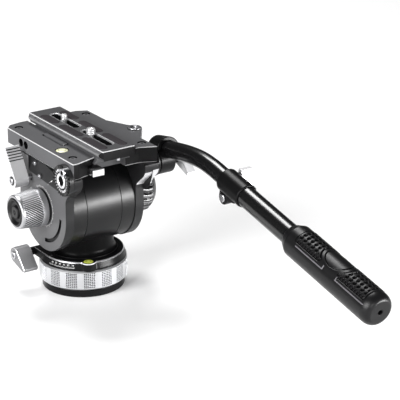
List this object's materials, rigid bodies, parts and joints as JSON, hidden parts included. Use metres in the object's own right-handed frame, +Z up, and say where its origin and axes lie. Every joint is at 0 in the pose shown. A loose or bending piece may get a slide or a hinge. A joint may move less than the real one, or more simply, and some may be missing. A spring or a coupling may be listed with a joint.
{
  "type": "fluid video head",
  "caption": "Fluid video head with a panning base, a tilting drum between two side plates, a sliding camera plate and a telescopic pan bar with a rubber grip.",
  "frame": {"origin": "mouth of the tripod socket, in the middle of the flat underside", "axes": "+Z up along the pan axis; +X to the operator's right, along the tilt axis; +Y forwards, towards the camera's lens, so the pan bar reaches back along -Y"},
  "size_m": [0.1652, 0.4593, 0.1662],
  "materials": {
    "dark_anodised": "dark grey satin anodised",
    "satin_aluminium": "bare satin",
    "steel": "bright turned",
    "rubber": "matte black",
    "black_plastic": "semi-matte black",
    "vial_fluid": "clear, with a yellow-green fluid",
    "black_anodised": "black satin anodised"
  },
  "bodies": {
    "base": {"base_plate": "black_anodised", "thread_insert": "steel", "pan_base": "black_anodised", "base_level_vial": "vial_fluid", "pan_friction_disc": "steel", "pan_bearing": "steel"},
    "clamp_ring": {"clamp_ring": "satin_aluminium"},
    "pan_lock": {"pan_lock_lever": "dark_anodised", "pan_lock_screw": "steel"},
    "pan_stage": {"pan_housing": "black_anodised", "pan_shaft": "steel", "pan_shaft_nut": "steel", "left_drum_ring": "black_anodised", "right_drum_ring": "black_anodised", "tilt_axle": "steel", "tilt_drag_stator": "steel", "counterbalance_spring": "steel"},
    "tilt_cradle": {"left_side_plate": "black_anodised", "right_side_plate": "black_anodised", "side_plate_screw_front": "steel", "side_plate_screw_rear": "steel", "platform": "dark_anodised", "platform_level_vial": "vial_fluid", "accessory_thread_insert": "steel", "left_rosette": "black_anodised", "right_rosette": "black_anodised", "rosette_screw": "black_plastic", "tilt_drag_rotor": "dark_anodised", "spring_arbor": "dark_anodised", "release_button_spring": "steel"},
    "plate_clamp": {"plate_clamp_lever": "satin_aluminium", "plate_clamp_pin": "steel"},
    "clamp_jaw": {"clamp_jaw": "dark_anodised"},
    "tilt_lock": {"tilt_lock_lever": "dark_anodised", "tilt_lock_pin": "steel"},
    "release_button": {"plate_release_button": "satin_aluminium"},
    "drag_knob": {"drag_knob": "satin_aluminium", "drag_knob_cap": "black_plastic"},
    "counterbalance_knob": {"counterbalance_knob": "black_plastic", "counterbalance_knob_cap": "black_plastic"},
    "camera_plate": {"camera_plate": "dark_anodised", "plate_pad_left_front": "rubber", "plate_pad_left_middle": "rubber", "plate_pad_left_rear": "rubber", "plate_pad_right_front": "rubber", "plate_pad_right_middle": "rubber", "plate_pad_right_rear": "rubber"},
    "quarter_inch_carriage": {"quarter_inch_screw_carriage": "steel"},
    "quarter_inch_screw": {"quarter_inch_camera_screw": "steel"},
    "three_eighths_carriage": {"three_eighths_inch_screw_carriage": "steel"},
    "three_eighths_screw": {"three_eighths_inch_camera_screw": "steel"},
    "pan_bar": {"pan_bar_bracket": "black_anodised", "pan_bar_arm": "black_anodised"},
    "pan_bar_clamp": {"pan_bar_clamp_lever": "satin_aluminium", "pan_bar_clamp_bolt": "steel"},
    "extension": {"clamp_collar": "black_anodised", "extension_tube": "black_anodised", "grip": "rubber"},
    "collar_clamp": {"collar_lever": "satin_aluminium", "collar_bolt": "steel"}
  },
  "joints": [
    {"name": "clamp_ring_turn", "type": "hinge", "parent": "base", "child": "clamp_ring", "pos_m": [0, 0, 0.0184], "axis": [0, 0, 1], "range_deg": [-30, 40]},
    {"name": "pan_lock_turn", "type": "hinge", "parent": "base", "child": "pan_lock", "pos_m": [-0.055, 0.0268, 0.0332], "axis": [1, 0, 0], "range_deg": [-60, 40]},
    {"name": "pan", "type": "hinge", "parent": "base", "child": "pan_stage", "pos_m": [0, 0, 0.0375], "axis": [0, 0, 1], "continuous": true},
    {"name": "tilt", "type": "hinge", "parent": "pan_stage", "child": "tilt_cradle", "pos_m": [0, 0, 0.09], "axis": [1, 0, 0], "range_deg": [-65, 75]},
    {"name": "plate_clamp_turn", "type": "hinge", "parent": "tilt_cradle", "child": "plate_clamp", "pos_m": [-0.0567, 0.0226, 0.113], "axis": [1, 0, 0], "range_deg": [0, 90]},
    {"name": "clamp_jaw_draw", "type": "slide", "parent": "tilt_cradle", "child": "clamp_jaw", "axis": [-1, 0, 0], "range_m": [0, 0.0015]},
    {"name": "tilt_lock_turn", "type": "hinge", "parent": "tilt_cradle", "child": "tilt_lock", "pos_m": [0.0522, 0.033, 0.112], "axis": [1, 0, 0], "range_deg": [-25, 50]},
    {"name": "release_button_press", "type": "slide", "parent": "tilt_cradle", "child": "release_button", "axis": [0, 1, 0], "range_m": [0, 0.004], "stiffness_N_per_m": 600, "springref_m": -0.001},
    {"name": "drag_knob_turn", "type": "hinge", "parent": "tilt_cradle", "child": "drag_knob", "pos_m": [-0.06, 0, 0.09], "axis": [1, 0, 0], "range_deg": [0, 270]},
    {"name": "counterbalance_knob_turn", "type": "hinge", "parent": "tilt_cradle", "child": "counterbalance_knob", "pos_m": [0.06, 0, 0.09], "axis": [1, 0, 0], "range_deg": [0, 270]},
    {"name": "camera_plate_slide", "type": "slide", "parent": "tilt_cradle", "child": "camera_plate", "axis": [0, 1, 0], "range_m": [-0.035, 0.035]},
    {"name": "quarter_inch_carriage_slide", "type": "slide", "parent": "camera_plate", "child": "quarter_inch_carriage", "axis": [0, 1, 0], "range_m": [-0.022, 0.017]},
    {"name": "quarter_inch_screw_turn", "type": "hinge", "parent": "quarter_inch_carriage", "child": "quarter_inch_screw", "pos_m": [0.001, 0.0325, 0.155], "axis": [0, 0, 1], "continuous": true},
    {"name": "three_eighths_carriage_slide", "type": "slide", "parent": "camera_plate", "child": "three_eighths_carriage", "axis": [0, 1, 0], "range_m": [-0.032, 0.0085]},
    {"name": "three_eighths_screw_turn", "type": "hinge", "parent": "three_eighths_carriage", "child": "three_eighths_screw", "pos_m": [0.001, -0.0187, 0.155], "axis": [0, 0, 1], "continuous": true},
    {"name": "pan_bar_turn", "type": "hinge", "parent": "tilt_cradle", "child": "pan_bar", "pos_m": [0.062, -0.048, 0.132], "axis": [1, 0, 0], "range_deg": [-60, 30]},
    {"name": "pan_bar_clamp_turn", "type": "hinge", "parent": "pan_bar", "child": "pan_bar_clamp", "pos_m": [0.0847, -0.048, 0.132], "axis": [1, 0, 0], "range_deg": [-40, 40]},
    {"name": "bar_extension", "type": "slide", "parent": "pan_bar", "child": "extension", "axis": [0, -0.9774, -0.2114], "range_m": [0, 0.06]},
    {"name": "collar_lever_turn", "type": "hinge", "parent": "extension", "child": "collar_clamp", "pos_m": [0.084, -0.15716, 0.12646], "axis": [1, 0, 0], "range_deg": [-40, 40]}
  ],
  "couplings": [
    {"joint": "clamp_jaw_draw", "follows": "plate_clamp_turn", "m_per_rad": 0.000954}
  ]
}
